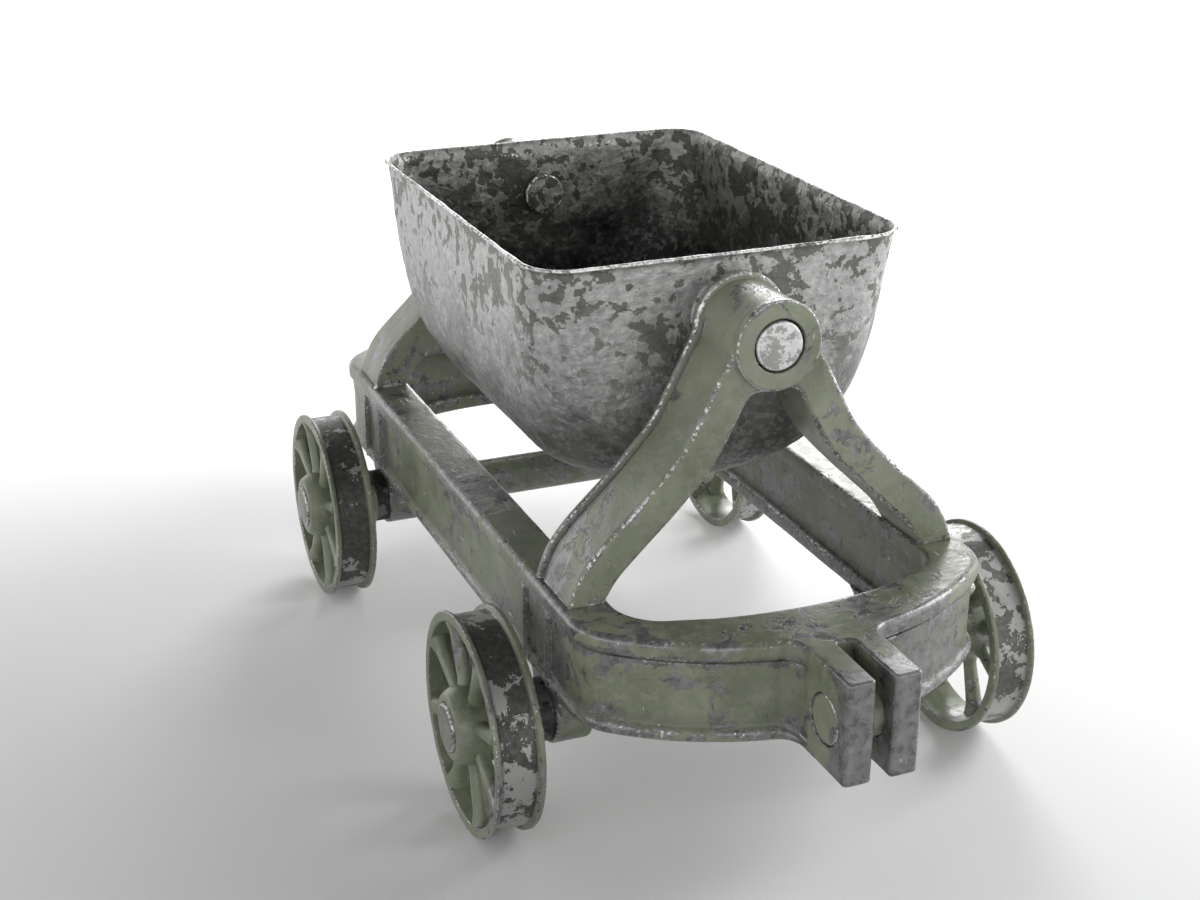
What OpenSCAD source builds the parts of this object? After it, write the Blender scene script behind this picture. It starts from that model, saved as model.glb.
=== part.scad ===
// Narrow-gauge mine cart: a ring-shaped cast frame on two wheelsets carries a tipping bucket
// between two trestles. X runs across the track, Y along it with the rear at +Y, and Z up from
// the lowest point of the wheel lips. The origin lies midway between the four wheels.

/* [Wheels] */
// Diameter over the wheel lips
wheel_lip_d = 268; // [250:2:300]
// Diameter of the tread between the lips
tread_d = 255; // [244:1:258]
// Diameter of the opening inside the rim
rim_inner_d = 242; // [228:1:243]
// Width of the wheel over both lips
wheel_w = 58; // [50:1:66]
// Thickness of the outer lip
outer_lip_t = 6; // [4:0.5:9]
// Thickness of the inner lip
inner_lip_t = 7.5; // [5:0.5:10]
// Distance between the middles of the two treads
tread_spacing = 640; // [620:5:700]
// Distance between the front and rear axles
wheelbase = 686; // [640:2:740]
// Diameter of the wheel hub
hub_d = 96; // [88:2:110]
// How far the hub stands out beyond the outer lip
hub_reach = 15; // [8:1:22]
// How far the hub runs inwards beyond the inner lip
hub_inset = 29; // [20:1:34]
// Number of spokes in a wheel
spoke_count = 8; // [5:1:10]
// Spoke diameter at the hub
spoke_hub_d = 15; // [10:1:20]
// Spoke diameter at the rim
spoke_rim_d = 24; // [14:1:28]
// Depth of the spokes behind the outer lip
spoke_depth = 13; // [12:1:24]
// Angle of the first spoke above the rail line
spoke_phase = 27; // [0:1:44]

/* [Axles] */
// Diameter of an axle
axle_d = 58; // [50:1:64]
// How far the axle end stands out beyond the hub
axle_reach = 4; // [1:0.5:8]
// Chamfer on the ends of axles and pins
pin_chamfer = 2; // [0.5:0.5:3]
// Diameter of the bearing bosses under the frame
axle_boss_d = 86; // [80:1:92]
// Length of a bearing boss across the frame
axle_boss_len = 48; // [40:1:54]
// Wall thickness of an axle bush
bush_wall = 5; // [3:0.5:6]
// Diameter of the thrust collars on the axle
collar_d = 76; // [68:1:82]

/* [Frame] */
// Width of the frame over its side rails
frame_w = 514; // [496:2:524]
// Width of a side rail seen from above
rail_w = 60; // [54:1:66]
// Height of the frame casting
frame_h = 123; // [106:1:132]
// Height of the frame's underside above the wheel lips' lowest point
frame_lift = 182; // [177:1:190]
// Half length of the frame at the crown of its round ends
end_reach = 595; // [570:1:620]
// Outer radius of the round ends
end_r = 345; // [335:5:420]
// Width of the round ends at their crown
end_w = 77; // [70:1:90]
// Inner radius of the round ends
end_inner_r = 480; // [440:5:540]
// Outer corner radius between rail and round end
corner_r = 75; // [60:1:90]
// Inner corner radius between rail and round end
inner_corner_r = 60; // [45:1:70]
// Thickness of the top flange
top_flange_t = 21; // [16:1:26]
// Thickness of the bottom flange
bottom_flange_t = 22; // [16:1:28]
// How far the flanges stand out beyond the web outside
flange_out = 7; // [4:1:10]
// How far the flanges stand out beyond the web inside
flange_in = 6; // [3:1:9]
// Width of a bearing bracket along the rail
bracket_w = 92; // [84:1:104]
// Radius of the upright ribs on a bearing bracket
bracket_rib_r = 9; // [6:0.5:10]

/* [Coupling] */
// Half length of the cart over the coupling ears
ear_reach = 699; // [684:1:722]
// Width over both ears
ears_w = 90; // [76:1:96]
// Width of the slot between the ears
slot_w = 21; // [14:1:26]
// Depth of the slot from the ears' end faces
slot_depth = 90; // [76:1:98]
// Blend radius between ears and frame
ear_blend_r = 26; // [18:1:34]
// Diameter of a coupling pin
coupling_pin_d = 57; // [44:1:60]
// Distance of the pin from the ears' end faces
coupling_pin_back = 47; // [42:1:52]
// Height of the pin above the frame's underside
coupling_pin_h = 59; // [50:1:70]
// How far the pin stands out beyond the right ear
coupling_pin_reach = 3; // [1:0.5:6]

/* [Trestles] */
// Height of the trunnion axis above the frame's top
axis_height = 277; // [266:1:310]
// Half distance between the outer boss faces of the trestles
boss_face_reach = 439; // [434:1:446]
// How far a boss stands out in front of its legs
boss_proud = 8; // [4:1:14]
// Distance from a trestle's front face to its back face
trestle_depth = 95; // [86:1:98]
// Thickness of the flange along the back of a trestle
back_flange_t = 8; // [5:1:12]
// How far the back flange stands out beyond the legs
back_flange_out = 5; // [3:1:8]
// Diameter of the trunnion boss
trunnion_boss_d = 105; // [98:1:112]
// How far the back flange stands out around the boss
head_flange_out = 6.5; // [5:0.5:9]
// Thickness of a trestle leg
leg_t = 44; // [40:1:50]
// Half distance between the middles of a trestle's feet
foot_spread = 224; // [219:1:229]
// Diameter of the trestle bolts
bolt_d = 16; // [12:1:18]
// Depth of the bolt holes in the feet
bolt_bite = 32; // [24:1:40]
// Length of frame that a trestle bolt clamps
bolt_grip = 37; // [28:1:50]

/* [Bucket] */
// Width of the bucket over its lip
bucket_w = 482; // [450:1:500]
// Length of the bucket over its lip
bucket_l = 634; // [610:2:640]
// Height of the lip above the trunnion axis
rim_rise = 75; // [60:1:90]
// Depth of the bucket from its lip to its lowest point
bucket_depth = 338; // [300:1:342]
// Wall thickness of the bucket
bucket_wall = 7; // [5:0.5:9]
// How far the lip stands out beyond the wall
lip_out = 6; // [3:0.5:8]
// Thickness of the lip
lip_t = 5; // [4:0.5:8]
// Corner radius of the mouth
mouth_corner_r = 50; // [40:1:70]
// Corner radius of the bottom
belly_corner_r = 160; // [120:1:190]
// Power of the curve that rounds the sides into the bottom
side_power = 3.6; // [2.6:0.1:4]
// Power of the curve that rounds the ends into the bottom
end_power = 8; // [6:0.5:10]
// Diameter of a trunnion
trunnion_d = 57; // [48:1:60]
// How far a trunnion stands into the bucket
trunnion_inside = 16; // [8:1:24]
// How far a trunnion stands out beyond its boss
trunnion_reach = 1.5; // [0.5:0.5:4]
// Diameter of the pad around a trunnion on the bucket's end
pad_d = 92; // [84:1:100]
// Thickness of a thrust washer
washer_t = 5; // [3:0.5:6]

/* [Fits] */
// Radial clearance of a turning or sliding fit
run_clear = 0.06; // [0.04:0.01:0.1]
// Radial clearance of a pressed seat
seat_clear = 0.02; // [0.01:0.01:0.04]
// End play between faces that turn past each other
end_play = 0.4; // [0.3:0.1:0.8]
// Width of the countersink around trunnions and axle ends
mouth_chamfer = 2.5; // [1:0.5:3]

/* [Hidden] */
front = -1;
rear = 1;
left = -1;
right = 1;
slack = 1;
skin = 0.01;
big = 2000;
web_out = 4;
bolt_hole_clear = 0.5;
bolt_well_clear = 2;
bolt_tip_gap = 4;
curve_steps = 12;
$fn = 96;

paint = [0.47, 0.50, 0.43];
bare = [0.52, 0.52, 0.53];
dark_steel = [0.30, 0.30, 0.31];
bronze = [0.55, 0.42, 0.24];
bucket_grey = [0.50, 0.51, 0.50];

// Heights and reaches that follow from the driving sizes
axle_z = wheel_lip_d / 2;
axle_y = wheelbase / 2;
wheel_out = (tread_spacing + wheel_w) / 2;
wheel_in = (tread_spacing - wheel_w) / 2;
hub_out = wheel_out + hub_reach;
hub_in = wheel_in - hub_inset;
axle_out = hub_out + axle_reach;
frame_top = frame_lift + frame_h;
rail_in = frame_w / 2 - rail_w;
boss_out = rail_in + axle_boss_len;
axis_z = frame_top + axis_height;
legs_front = boss_face_reach - boss_proud;
legs_back = legs_front - trestle_depth;
trunnion_out = boss_face_reach + trunnion_reach;
rim_z = axis_z + rim_rise;
wall_w = bucket_w / 2 - lip_out;
wall_l = bucket_l / 2 - lip_out;
pad_face = legs_back - 2 * end_play - washer_t;
coupling_pin_y = ear_reach - coupling_pin_back;
coupling_pin_z = frame_lift + coupling_pin_h;
bolt_head_h = bolt_d * 0.7;
bolt_head_r = bolt_d * 0.9;
bolt_well_r = bolt_head_r + bolt_well_clear;
bolt_rows = [legs_back + trestle_depth * 0.3, legs_back + trestle_depth * 0.72];

// The middle line of a trestle leg, as shares of the foot spread and the axis height
leg_line = [[1, 0], [0.92, 0.13], [0.77, 0.25], [0.59, 0.39], [0.405, 0.555], [0.3, 0.71],
  [0.225, 0.83], [0.13, 0.985]];

// Lying cylinders: across the track and along it
module across(x1, x2, r) {
  translate([x1, 0, 0]) rotate([0, 90, 0]) cylinder(h = x2 - x1, r = r);
}

module along(y1, y2, r) {
  translate([0, y2, 0]) rotate([90, 0, 0]) cylinder(h = y2 - y1, r = r);
}

// A round bar with both ends chamfered, standing on the origin
module chamfered_bar(r, len) {
  rotate_extrude()
    polygon([[0, 0], [r - pin_chamfer, 0], [r, pin_chamfer], [r, len - pin_chamfer],
      [r - pin_chamfer, len], [0, len]]);
}

// Flat outline with straight sides, two round ends and rounded corners
module d_plate(half_w, reach, crown_r, edge_r) {
  crown_y = reach - crown_r;
  corner_x = half_w - edge_r;
  corner_y = crown_y + sqrt(pow(crown_r - edge_r, 2) - pow(corner_x, 2));
  square([2 * half_w, 2 * corner_y], center = true);
  for (side = [left, right], end = [front, rear])
    translate([side * corner_x, end * corner_y]) circle(r = edge_r);
  for (end = [0, 180])
    rotate(end)
      intersection() {
        translate([0, crown_y]) circle(r = crown_r);
        polygon([[0, crown_y], [2 * corner_x, 2 * corner_y - crown_y],
          [-2 * corner_x, 2 * corner_y - crown_y]]);
      }
}

// Both ears of one end with their blends into a round end of radius crown_r
module ears_plate(crown_r) {
  half = ears_w / 2;
  crown_y = end_reach - end_r;
  blend_x = half + ear_blend_r;
  blend_y = crown_y + sqrt(pow(crown_r + ear_blend_r, 2) - pow(blend_x, 2));
  touch = crown_r / (crown_r + ear_blend_r);
  inner_y = end_reach - end_w / 2;
  translate([-half, inner_y]) square([ears_w, ear_reach - inner_y]);
  difference() {
    polygon([[-half, inner_y], [half, inner_y],
      [touch * blend_x, crown_y + touch * (blend_y - crown_y)], [blend_x, blend_y],
      [half, blend_y], [-half, blend_y], [-blend_x, blend_y],
      [-touch * blend_x, crown_y + touch * (blend_y - crown_y)]]);
    for (side = [left, right])
      translate([side * blend_x, blend_y]) circle(r = ear_blend_r);
  }
}

// One level of the frame casting, drawn in or out from the flange lines
module frame_level(z1, z2, outer_inset, inner_inset) {
  translate([0, 0, z1])
    linear_extrude(z2 - z1)
      difference() {
        union() {
          d_plate(frame_w / 2 - outer_inset, end_reach - outer_inset, end_r - outer_inset,
            corner_r - outer_inset);
          for (end = [0, 180])
            rotate(end) ears_plate(end_r - outer_inset);
        }
        d_plate(rail_in + inner_inset, end_reach - end_w + inner_inset,
          end_inner_r + inner_inset, inner_corner_r + inner_inset);
        for (end = [0, 180])
          rotate(end)
            translate([-slot_w / 2, ear_reach - slot_depth])
              square([slot_w, slot_depth + slack]);
      }
}

// Bearing bracket on one rail: a boss under the rail and ribs up its outer side
module axle_bracket(side, end) {
  web_x = frame_w / 2 - flange_out;
  rib_y = bracket_w / 2 - bracket_rib_r;
  translate([0, end * axle_y, 0]) mirror([side == left ? 1 : 0, 0, 0]) {
    translate([0, 0, axle_z]) across(rail_in, boss_out, axle_boss_d / 2);
    translate([rail_in, -axle_boss_d / 2, axle_z])
      cube([axle_boss_len, axle_boss_d, frame_lift - axle_z + slack]);
    for (y = [-rib_y, rib_y])
      translate([web_x - bracket_rib_r * 0.4, y, frame_lift + slack])
        cylinder(h = frame_h - top_flange_t, r = bracket_rib_r);
  }
}

module frame() {
  color(paint)
  difference() {
    union() {
      frame_level(frame_lift, frame_lift + bottom_flange_t, 0, 0);
      frame_level(frame_lift + bottom_flange_t, frame_top - top_flange_t, flange_out, flange_in);
      frame_level(frame_top - top_flange_t, frame_top, 0, 0);
      for (side = [left, right], end = [front, rear])
        axle_bracket(side, end);
    }
    for (end = [front, rear]) {
      translate([0, end * axle_y, axle_z])
        across(-big, big, axle_d / 2 + bush_wall + seat_clear);
      translate([0, end * coupling_pin_y, coupling_pin_z])
        across(-ears_w, ears_w, coupling_pin_d / 2 + run_clear);
    }
    for (end = [front, rear], side = [left, right], row = bolt_rows)
      translate([side * foot_spread, end * row, 0]) {
        cylinder(h = frame_top + slack, r = bolt_d / 2 + bolt_hole_clear);
        cylinder(h = frame_top - bolt_grip, r = bolt_well_r);
      }
  }
}

// Smooth curve through a list of points
function curve_at(p, i, t) =
  let (a = p[max(i - 1, 0)], b = p[i], c = p[i + 1], d = p[min(i + 2, len(p) - 1)])
  0.5 * (2 * b + (c - a) * t + (2 * a - 5 * b + 4 * c - d) * t * t
    + (3 * b - a - 3 * c + d) * t * t * t);
function curve(p) =
  [for (i = [0 : len(p) - 2], s = [0 : 3]) curve_at(p, i, s / 4), p[len(p) - 1]];
function heading(p, i) =
  let (v = p[min(i + 1, len(p) - 1)] - p[max(i - 1, 0)]) v / norm(v);
function beside(p, gap) =
  [for (i = [0 : len(p) - 1]) p[i] + gap * [heading(p, i)[1], -heading(p, i)[0]]];
function backwards(p) = [for (i = [len(p) - 1 : -1 : 0]) p[i]];

// Outline of both legs of a trestle, with extra width on their outer sides
module legs_outline(extra) {
  middle = curve([for (q = leg_line) [q[0] * foot_spread, q[1] * axis_height]]);
  outer = beside(middle, leg_t / 2 + extra);
  inner = beside(middle, -leg_t / 2);
  foot_out = [foot_spread + leg_t / 2 + extra, 0];
  foot_in = [foot_spread - leg_t / 2, 0];
  last = len(middle) - 1;
  for (m = [0, 1])
    mirror([m, 0])
      polygon(concat([foot_out], [for (i = [1 : last]) outer[i]],
        [for (i = [last : -1 : 1]) if (inner[i][1] > slack) inner[i]], [foot_in]));
}

// Webbing that joins the two legs below the boss
module head_web() {
  web_reach = trunnion_boss_d / 2 + web_out;
  intersection() {
    translate([0, axis_height]) circle(r = web_reach);
    translate([-leg_t, axis_height - web_reach]) square([2 * leg_t, web_reach]);
  }
}

module trestle_slab(y1, y2, extra) {
  translate([0, y2, frame_top])
    rotate([90, 0, 0])
      linear_extrude(y2 - y1) {
        legs_outline(extra);
        head_web();
      }
}

// Trestle at the rear; the front one is its mirror image
module trestle_shape() {
  color(paint)
  difference() {
    union() {
      trestle_slab(legs_back, legs_back + back_flange_t, back_flange_out);
      trestle_slab(legs_back + back_flange_t, legs_front, 0);
      translate([0, 0, axis_z]) {
        along(legs_back, boss_face_reach, trunnion_boss_d / 2);
        along(legs_back, legs_back + back_flange_t, trunnion_boss_d / 2 + head_flange_out);
      }
    }
    translate([0, 0, axis_z]) {
      along(0, big, trunnion_d / 2 + run_clear);
      translate([0, boss_face_reach + skin, 0])
        rotate([90, 0, 0])
          cylinder(h = mouth_chamfer, r1 = trunnion_d / 2 + mouth_chamfer,
            r2 = trunnion_d / 2 + run_clear);
    }
    for (side = [left, right], row = bolt_rows)
      translate([side * foot_spread, row, frame_top - slack])
        cylinder(h = bolt_bite + slack, r = bolt_d / 2 + seat_clear);
  }
}

module at_end(end) {
  mirror([0, end == front ? 1 : 0, 0]) children();
}

module trestle_bolts() {
  head_top = frame_top - bolt_grip;
  color(dark_steel)
  for (side = [left, right], row = bolt_rows)
    translate([side * foot_spread, row, head_top]) {
      translate([0, 0, -bolt_head_h]) cylinder(h = bolt_head_h, r = bolt_head_r, $fn = 6);
      cylinder(h = bolt_grip + bolt_bite - bolt_tip_gap, r = bolt_d / 2);
    }
}

// Half width, half length and corner radius of the bucket at a share s of its depth
function belly(s, power) = pow(max(1 - pow(s, power), 0), 0.45);
function level_share(i) = sin(90 * i / curve_steps);

module rounded_plate(half_w, half_l, r) {
  edge = min(r, half_w - 1, half_l - 1);
  square([2 * half_w, 2 * (half_l - edge)], center = true);
  square([2 * (half_w - edge), 2 * half_l], center = true);
  for (x = [edge - half_w, half_w - edge], y = [edge - half_l, half_l - edge])
    translate([x, y]) circle(r = edge, $fn = 40);
}

// Solid of the bucket's form with its sides moved in by inset
module bucket_form(inset, depth, rise) {
  film = 0.5;
  hull() {
    for (i = [0 : curve_steps]) {
      s = level_share(i);
      half_w = max((wall_w - inset) * belly(s, side_power), 40);
      half_l = max((wall_l - inset) * belly(s, end_power), 70);
      edge = mouth_corner_r - inset + (belly_corner_r - mouth_corner_r) * s;
      translate([0, 0, rim_z - lip_t - depth * s])
        linear_extrude(film) rounded_plate(half_w, half_l, edge);
    }
    if (rise > 0)
      translate([0, 0, rim_z - lip_t])
        linear_extrude(rise) rounded_plate(wall_w - inset, wall_l - inset,
          mouth_corner_r - inset);
  }
}

module bucket() {
  color(bucket_grey)
  difference() {
    union() {
      bucket_form(0, bucket_depth - lip_t, 0);
      translate([0, 0, rim_z - lip_t])
        linear_extrude(lip_t)
          rounded_plate(wall_w + lip_out, wall_l + lip_out, mouth_corner_r + lip_out);
      for (end = [front, rear])
        at_end(end)
          translate([0, 0, axis_z]) along(wall_l - bucket_wall, pad_face, pad_d / 2);
    }
    bucket_form(bucket_wall, bucket_depth - lip_t - bucket_wall, lip_t + slack);
    translate([0, 0, axis_z]) along(-big, big, trunnion_d / 2 + seat_clear);
  }
}

module trunnion() {
  inner_end = wall_l - bucket_wall - trunnion_inside;
  color(bare)
  translate([0, trunnion_out, axis_z])
    rotate([90, 0, 0]) chamfered_bar(trunnion_d / 2, trunnion_out - inner_end);
}

module thrust_washer() {
  color(dark_steel)
  translate([0, 0, axis_z])
    difference() {
      along(pad_face + end_play, pad_face + end_play + washer_t, pad_d / 2 - 2);
      along(0, big, trunnion_d / 2 + run_clear);
    }
}

module axle(end) {
  color(bare)
  translate([-axle_out, end * axle_y, axle_z])
    rotate([0, 90, 0]) chamfered_bar(axle_d / 2, 2 * axle_out);
}

// Outline of the rim from its outer face inwards, turned about the wheel's own axis
module rim_profile() {
  lip_r = wheel_lip_d / 2;
  tread_r = tread_d / 2;
  hole_r = rim_inner_d / 2;
  polygon([[hole_r, 0], [lip_r, 0], [lip_r, outer_lip_t - 1.5], [lip_r - 1.5, outer_lip_t],
    [tread_r, outer_lip_t + 2], [tread_r, wheel_w - inner_lip_t - 2],
    [lip_r - 1.5, wheel_w - inner_lip_t], [lip_r, wheel_w - inner_lip_t + 1.5],
    [lip_r, wheel_w], [hole_r, wheel_w]]);
}

// Half section of the hub, crowned towards its outer end
module hub_profile() {
  hub_r = hub_d / 2;
  crown = 12;
  bore_r = axle_d / 2 + seat_clear;
  from = -hub_reach;
  to = wheel_w + hub_inset;
  difference() {
    union() {
      translate([0, from + crown]) square([hub_r, to - from - 2 * crown]);
      translate([0, from]) square([hub_r - crown, to - from]);
      translate([hub_r - crown, from + crown]) circle(r = crown);
      translate([hub_r - crown, to - crown]) circle(r = crown);
    }
    translate([-bore_r, from - slack]) square([2 * bore_r, to - from + 2 * slack]);
    polygon([[bore_r - slack, from - skin], [bore_r + mouth_chamfer, from - skin],
      [bore_r, from + mouth_chamfer], [bore_r - slack, from + mouth_chamfer]]);
    translate([-big, from - slack]) square([big, to - from + 2 * slack]);
  }
}

// Wheel with its outer face on Z = 0 and its inner face above it
module wheel_shape() {
  spoke_from = axle_d / 2 + 8;
  spoke_to = rim_inner_d / 2 + 2;
  rotate_extrude() rim_profile();
  rotate_extrude() hub_profile();
  for (i = [0 : spoke_count - 1])
    rotate(spoke_phase + i * 360 / spoke_count)
      translate([spoke_from, 0, spoke_depth])
        rotate([0, 90, 0])
          cylinder(h = spoke_to - spoke_from, r1 = spoke_hub_d / 2, r2 = spoke_rim_d / 2);
}

module wheel(side, end) {
  color(paint)
  translate([side * wheel_out, end * axle_y, axle_z])
    mirror([side == right ? 1 : 0, 0, 0])
      rotate([90, 0, 90]) wheel_shape();
}

module bush(side, end) {
  color(bronze)
  translate([0, end * axle_y, axle_z])
    mirror([side == left ? 1 : 0, 0, 0])
      difference() {
        across(rail_in, boss_out, axle_d / 2 + bush_wall);
        across(0, big, axle_d / 2 + run_clear);
      }
}

module collar(side, end) {
  color(dark_steel)
  translate([0, end * axle_y, axle_z])
    mirror([side == left ? 1 : 0, 0, 0])
      difference() {
        across(boss_out + end_play, hub_in, collar_d / 2);
        across(0, big, axle_d / 2 + seat_clear);
      }
}

module coupling_pin() {
  color(bare)
  translate([-ears_w / 2, coupling_pin_y, coupling_pin_z])
    rotate([0, 90, 0]) chamfered_bar(coupling_pin_d / 2, ears_w + coupling_pin_reach);
}

frame();
at_end(front) trestle_shape();  // front_trestle
at_end(rear) trestle_shape();  // rear_trestle
at_end(front) trestle_bolts();  // front_trestle_bolts
at_end(rear) trestle_bolts();  // rear_trestle_bolts
bucket();
at_end(front) trunnion();  // front_trunnion
at_end(rear) trunnion();  // rear_trunnion
at_end(front) thrust_washer();  // front_thrust_washer
at_end(rear) thrust_washer();  // rear_thrust_washer
axle(front);  // front_axle
axle(rear);  // rear_axle
wheel(left, front);  // front_left_wheel
wheel(right, front);  // front_right_wheel
wheel(left, rear);  // rear_left_wheel
wheel(right, rear);  // rear_right_wheel
bush(left, front);  // front_left_bush
bush(right, front);  // front_right_bush
bush(left, rear);  // rear_left_bush
bush(right, rear);  // rear_right_bush
collar(left, front);  // front_left_collar
collar(right, front);  // front_right_collar
collar(left, rear);  // rear_left_collar
collar(right, rear);  // rear_right_collar
at_end(front) coupling_pin();  // front_coupling_pin
at_end(rear) coupling_pin();  // rear_coupling_pin
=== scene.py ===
# Worn narrow-gauge mine cart: painted castings, a bare tipping bucket and steel-faced wheels.
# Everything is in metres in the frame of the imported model: X across the track, Y along it.
import math

import bmesh
import bpy
from mathutils import Matrix, Vector, noise


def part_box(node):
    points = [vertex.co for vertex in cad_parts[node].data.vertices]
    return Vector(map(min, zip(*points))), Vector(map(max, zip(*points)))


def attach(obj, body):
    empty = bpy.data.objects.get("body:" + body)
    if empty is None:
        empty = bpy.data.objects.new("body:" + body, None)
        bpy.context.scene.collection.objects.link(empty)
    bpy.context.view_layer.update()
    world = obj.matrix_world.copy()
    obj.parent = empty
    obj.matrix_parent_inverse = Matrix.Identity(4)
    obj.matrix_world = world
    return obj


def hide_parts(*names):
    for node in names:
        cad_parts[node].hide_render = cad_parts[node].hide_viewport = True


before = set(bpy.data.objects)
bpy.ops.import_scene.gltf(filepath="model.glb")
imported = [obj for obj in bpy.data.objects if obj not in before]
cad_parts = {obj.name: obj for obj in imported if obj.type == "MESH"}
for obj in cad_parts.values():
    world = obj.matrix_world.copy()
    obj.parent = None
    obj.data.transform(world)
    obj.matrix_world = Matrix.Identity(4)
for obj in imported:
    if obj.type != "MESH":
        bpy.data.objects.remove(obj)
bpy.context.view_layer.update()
MM = 0.001

# ------------------------------------------------------------------ places taken from the frame
_, frame_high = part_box("frame")
bucket_low, bucket_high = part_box("bucket")
axle_low, axle_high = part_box("rear_axle")
wheel_low, wheel_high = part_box("rear_right_wheel")
trunnion_low, trunnion_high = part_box("rear_trunnion")
pin_low, pin_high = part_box("rear_coupling_pin")
bush_low, bush_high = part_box("rear_right_bush")
washer_low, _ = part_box("rear_thrust_washer")

frame_top = frame_high.z
axle_y = (axle_low.y + axle_high.y) / 2
axle_z = (axle_low.z + axle_high.z) / 2
axle_r = (axle_high.z - axle_low.z) / 2
axis_z = (trunnion_low.z + trunnion_high.z) / 2
trunnion_r = (trunnion_high.z - trunnion_low.z) / 2
pin_y = (pin_low.y + pin_high.y) / 2
pin_z = (pin_low.z + pin_high.z) / 2
pin_r = (pin_high.z - pin_low.z) / 2
lip_r = (wheel_high.z - wheel_low.z) / 2
boss_out = bush_high.x
rail_in = bush_low.x

# ------------------------------------------------------------------ sizes of the castings
frame_half_w = 257 * MM
frame_low_z = 182 * MM
frame_h = frame_top - frame_low_z
crown_y_reach = 595 * MM
crown_r = 345 * MM
crown_w = 77 * MM
crown_inner_r = 480 * MM
corner_r = 75 * MM
inner_corner_r = 60 * MM
ears_half_w = 45 * MM
ear_blend_r = 26 * MM
ear_corner_r = 6 * MM
slot_half_w = 10.5 * MM
slot_depth = 90 * MM
slot_corner_r = 4 * MM
web_in = 6.5 * MM
pin_play = 0.9 * MM

saddle_half = 42.5
boss_bore_r = 34.1 * MM
bracket_boss_r = 43 * MM
rib_spread = 37 * MM
rib_tip_in = 3.6 * MM

legs_back = 336 * MM
legs_depth = 95 * MM
boss_proud = 8 * MM
boss_r = 52.5 * MM
head_r = 59 * MM
leg_t = 44 * MM
foot_spread = 224 * MM
flange_out = 5 * MM
web_r = 56.5 * MM
flange_step = 4.8
barrel_room_r = 40 * MM
head_fade = 75 * MM

wall_half_w = 235 * MM
wall_half_l = 311 * MM
lip_out = 6 * MM
lip_t = 5 * MM
wall_t = 7 * MM
mouth_r = 50 * MM
belly_r = 160 * MM
side_power = 3.6
end_power = 8
pad_r = 46 * MM
pad_play = 0.4 * MM
floor_half_w = 40 * MM
floor_half_l = 70 * MM
wall_points = 288
wall_levels = 40
calm_reach = 60 * MM
lip_wear_and_highlight_depth = 25 * MM

tread_r = 127.5 * MM
rim_hole_r = 121 * MM
wheel_w = 58 * MM
hub_r = 48 * MM
hub_reach = 15 * MM
hub_inset = 29 * MM
spoke_count = 8
spoke_phase = 27
spoke_depth = 13 * MM

merge_gap = 0.00002
crease_angle = 42
grid_step = 9 * MM


# ------------------------------------------------------------------ outlines
def arc(centre, radius, start, end, steps):
    """Points on an arc from one angle to another, in degrees."""
    turns = [math.radians(start + (end - start) * i / steps) for i in range(steps + 1)]
    return [(centre[0] + radius * math.cos(a), centre[1] + radius * math.sin(a)) for a in turns]


def line(start, end, spacing):
    """Points from start up to but not including end, evenly spaced."""
    length = math.dist(start, end)
    steps = max(1, round(length / spacing))
    return [
        (start[0] + (end[0] - start[0]) * i / steps, start[1] + (end[1] - start[1]) * i / steps)
        for i in range(steps)
    ]


def without_doubles(points):
    """The same closed outline with repeated neighbours dropped."""
    kept = []
    for point in points:
        if not kept or math.dist(point[:2], kept[-1][:2]) > 1e-6:
            kept.append(point)
    if math.dist(kept[0][:2], kept[-1][:2]) < 1e-6:
        kept.pop()
    return kept


def normals(points):
    """Unit normals of a closed outline, to the left of its direction."""
    found = []
    count = len(points)
    for i in range(count):
        before = Vector(points[i - 1][:2])
        here = Vector(points[i][:2])
        after = Vector(points[(i + 1) % count][:2])
        first = (here - before).normalized()
        second = (after - here).normalized()
        mean = (first + second).normalized()
        left = Vector((-mean.y, mean.x))
        lean = max(0.5, left.dot(Vector((-first.y, first.x))))
        found.append(left / lean)
    return found


def smooth_curve(points, steps):
    """Smooth curve through a list of points."""
    made = []
    last = len(points) - 1
    for i in range(last):
        a, b, c, d = (Vector(points[k]) for k in (max(i - 1, 0), i, i + 1, min(i + 2, last)))
        for s in range(steps):
            t = s / steps
            bend = (2 * a - 5 * b + 4 * c - d) * t * t + (3 * b - a - 3 * c + d) * t * t * t
            made.append((2 * b + (c - a) * t + bend) / 2)
    made.append(Vector(points[-1]))
    return made


def evenly(points, spacing):
    """An open line of points laid out again at an even spacing."""
    lengths = [0.0]
    for before, after in zip(points, points[1:]):
        lengths.append(lengths[-1] + math.dist(before, after))
    steps = max(2, round(lengths[-1] / spacing))
    made = []
    k = 0
    for i in range(steps + 1):
        want = lengths[-1] * i / steps
        while k < len(points) - 2 and lengths[k + 1] < want:
            k += 1
        share = (want - lengths[k]) / max(lengths[k + 1] - lengths[k], 1e-9)
        made.append(tuple(Vector(points[k]).lerp(Vector(points[k + 1]), share)))
    return made


# ------------------------------------------------------------------ mesh building
def add_ring(mesh, points):
    """A closed ring of vertices, given as its edges."""
    verts = [mesh.verts.new(point) for point in points]
    return [mesh.edges.new((verts[i - 1], verts[i])) for i in range(len(verts))]


def skin(mesh, rings):
    """Faces between each ring of edges and the next."""
    for lower, upper in zip(rings, rings[1:]):
        bmesh.ops.bridge_loops(mesh, edges=lower + upper)


def cap(mesh, edges):
    """Fills a flat region bounded by one ring."""
    bmesh.ops.contextual_create(mesh, geom=edges)


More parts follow.
